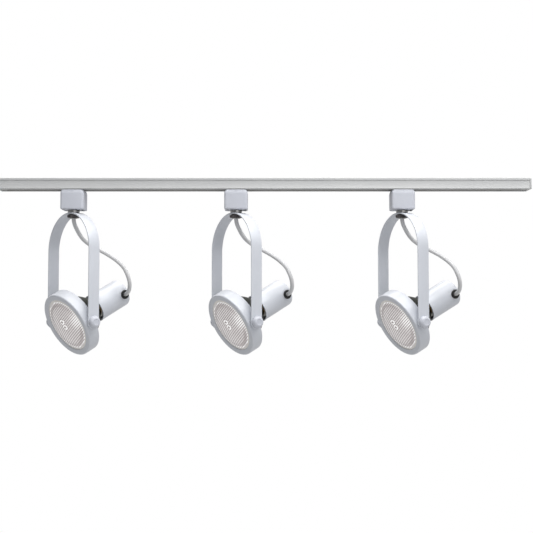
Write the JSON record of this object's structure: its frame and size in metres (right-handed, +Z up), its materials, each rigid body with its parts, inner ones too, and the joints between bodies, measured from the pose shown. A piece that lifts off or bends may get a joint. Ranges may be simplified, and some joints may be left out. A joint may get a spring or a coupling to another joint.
{
  "type": "track lighting fixture",
  "caption": "Ceiling track carrying adjustable gimbal-ring spot heads, each in a strap yoke with thumb knobs, a cylindrical socket housing and a short exposed lead.",
  "frame": {"origin": "centre of the track's flat top face, which lies against the ceiling", "axes": "+X along the track, +Z up into the ceiling, so the heads hang toward -Z; -Y is the side the lamps are aimed toward at rest"},
  "size_m": [0.9144, 0.156, 0.3023],
  "materials": {
    "track_paint": "satin baked enamel",
    "white_paint": "satin white enamel",
    "adapter_plastic": "moulded, fine texture",
    "lever_plastic": "moulded",
    "track_insulator": "extruded vinyl",
    "copper": "drawn copper strip",
    "zinc": "zinc plated",
    "brass": "bright",
    "lens_glass": "ribbed, clear",
    "silvered_glass": "silvered inside, glossy",
    "porcelain": "glazed",
    "black_rubber": "matte",
    "cord_sheath": "soft vinyl"
  },
  "bodies": {
    "track": {"track_channel": "track_paint", "track_insulator": "track_insulator", "conductor_line": "copper", "conductor_neutral": "copper", "end_cap_left": "track_paint", "end_cap_right": "track_paint"},
    "adapter_assembly_1": {"adapter_body_1": "adapter_plastic", "contact_line_1": "copper", "contact_neutral_1": "copper"},
    "lever_1": {"release_lever_1": "lever_plastic"},
    "yoke_assembly_1": {"yoke_1": "white_paint", "swivel_stem_1": "zinc", "stem_retainer_1": "zinc", "lock_nut_1": "zinc", "head_cord_1": "cord_sheath"},
    "lamp_assembly_1": {"gimbal_ring_1": "white_paint", "socket_housing_1": "white_paint", "lamp_reflector_1": "silvered_glass", "lamp_lens_1": "lens_glass", "lamp_cap_1": "brass", "lampholder_1": "porcelain", "cord_grommet_1": "black_rubber"},
    "knob_left_1": {"thumb_knob_left_1": "white_paint"},
    "knob_right_1": {"thumb_knob_right_1": "white_paint"},
    "adapter_assembly_2": {"adapter_body_2": "adapter_plastic", "contact_line_2": "copper", "contact_neutral_2": "copper"},
    "lever_2": {"release_lever_2": "lever_plastic"},
    "yoke_assembly_2": {"yoke_2": "white_paint", "swivel_stem_2": "zinc", "stem_retainer_2": "zinc", "lock_nut_2": "zinc", "head_cord_2": "cord_sheath"},
    "lamp_assembly_2": {"gimbal_ring_2": "white_paint", "socket_housing_2": "white_paint", "lamp_reflector_2": "silvered_glass", "lamp_lens_2": "lens_glass", "lamp_cap_2": "brass", "lampholder_2": "porcelain", "cord_grommet_2": "black_rubber"},
    "knob_left_2": {"thumb_knob_left_2": "white_paint"},
    "knob_right_2": {"thumb_knob_right_2": "white_paint"},
    "adapter_assembly_3": {"adapter_body_3": "adapter_plastic", "contact_line_3": "copper", "contact_neutral_3": "copper"},
    "lever_3": {"release_lever_3": "lever_plastic"},
    "yoke_assembly_3": {"yoke_3": "white_paint", "swivel_stem_3": "zinc", "stem_retainer_3": "zinc", "lock_nut_3": "zinc", "head_cord_3": "cord_sheath"},
    "lamp_assembly_3": {"gimbal_ring_3": "white_paint", "socket_housing_3": "white_paint", "lamp_reflector_3": "silvered_glass", "lamp_lens_3": "lens_glass", "lamp_cap_3": "brass", "lampholder_3": "porcelain", "cord_grommet_3": "black_rubber"},
    "knob_left_3": {"thumb_knob_left_3": "white_paint"},
    "knob_right_3": {"thumb_knob_right_3": "white_paint"}
  },
  "joints": [
    {"name": "head_slide_1", "type": "slide", "parent": "track", "child": "adapter_assembly_1", "axis": [1, 0, 0], "range_m": [-0.1, 0.015]},
    {"name": "lever_hinge_1", "type": "hinge", "parent": "adapter_assembly_1", "child": "lever_1", "pos_m": [-0.3119, 0, -0.0468], "axis": [0, 1, 0], "range_deg": [0, 14], "stiffness_Nm_per_rad": 0.02},
    {"name": "yoke_swivel_1", "type": "hinge", "parent": "adapter_assembly_1", "child": "yoke_assembly_1", "pos_m": [-0.3277, 0, -0.0535], "axis": [0, 0, 1], "range_deg": [-129.4, 220.6]},
    {"name": "lamp_tilt_1", "type": "hinge", "parent": "yoke_assembly_1", "child": "lamp_assembly_1", "pos_m": [-0.3277, 0, -0.2455], "axis": [0.6997, -0.7145, 0], "range_deg": [-12, 62], "deforming": ["head_cord_1"]},
    {"name": "knob_left_turn_1", "type": "hinge", "parent": "lamp_assembly_1", "child": "knob_left_1", "pos_m": [-0.3277, 0, -0.2455], "axis": [0.6997, -0.7145, 0], "continuous": true},
    {"name": "knob_right_turn_1", "type": "hinge", "parent": "lamp_assembly_1", "child": "knob_right_1", "pos_m": [-0.3277, 0, -0.2455], "axis": [0.6997, -0.7145, 0], "continuous": true},
    {"name": "head_slide_2", "type": "slide", "parent": "track", "child": "adapter_assembly_2", "axis": [1, 0, 0], "range_m": [-0.015, 0.015]},
    {"name": "lever_hinge_2", "type": "hinge", "parent": "adapter_assembly_2", "child": "lever_2", "pos_m": [-0.0321, 0, -0.0468], "axis": [0, 1, 0], "range_deg": [0, 14], "stiffness_Nm_per_rad": 0.02},
    {"name": "yoke_swivel_2", "type": "hinge", "parent": "adapter_assembly_2", "child": "yoke_assembly_2", "pos_m": [-0.0479, 0, -0.0535], "axis": [0, 0, 1], "range_deg": [-119.2, 230.8]},
    {"name": "lamp_tilt_2", "type": "hinge", "parent": "yoke_assembly_2", "child": "lamp_assembly_2", "pos_m": [-0.0479, 0, -0.2455], "axis": [0.5621, -0.8271, 0], "range_deg": [-12, 62], "deforming": ["head_cord_2"]},
    {"name": "knob_left_turn_2", "type": "hinge", "parent": "lamp_assembly_2", "child": "knob_left_2", "pos_m": [-0.0479, 0, -0.2455], "axis": [0.5621, -0.8271, 0], "continuous": true},
    {"name": "knob_right_turn_2", "type": "hinge", "parent": "lamp_assembly_2", "child": "knob_right_2", "pos_m": [-0.0479, 0, -0.2455], "axis": [0.5621, -0.8271, 0], "continuous": true},
    {"name": "head_slide_3", "type": "slide", "parent": "track", "child": "adapter_assembly_3", "axis": [1, 0, 0], "range_m": [-0.015, 0.18]},
    {"name": "lever_hinge_3", "type": "hinge", "parent": "adapter_assembly_3", "child": "lever_3", "pos_m": [0.2538, 0, -0.0468], "axis": [0, 1, 0], "range_deg": [0, 14], "stiffness_Nm_per_rad": 0.02},
    {"name": "yoke_swivel_3", "type": "hinge", "parent": "adapter_assembly_3", "child": "yoke_assembly_3", "pos_m": [0.238, 0, -0.0535], "axis": [0, 0, 1], "range_deg": [-108.6, 241.4]},
    {"name": "lamp_tilt_3", "type": "hinge", "parent": "yoke_assembly_3", "child": "lamp_assembly_3", "pos_m": [0.238, 0, -0.2455], "axis": [0.4003, -0.9164, 0], "range_deg": [-12, 62], "deforming": ["head_cord_3"]},
    {"name": "knob_left_turn_3", "type": "hinge", "parent": "lamp_assembly_3", "child": "knob_left_3", "pos_m": [0.238, 0, -0.2455], "axis": [0.4003, -0.9164, 0], "continuous": true},
    {"name": "knob_right_turn_3", "type": "hinge", "parent": "lamp_assembly_3", "child": "knob_right_3", "pos_m": [0.238, 0, -0.2455], "axis": [0.4003, -0.9164, 0], "continuous": true}
  ]
}
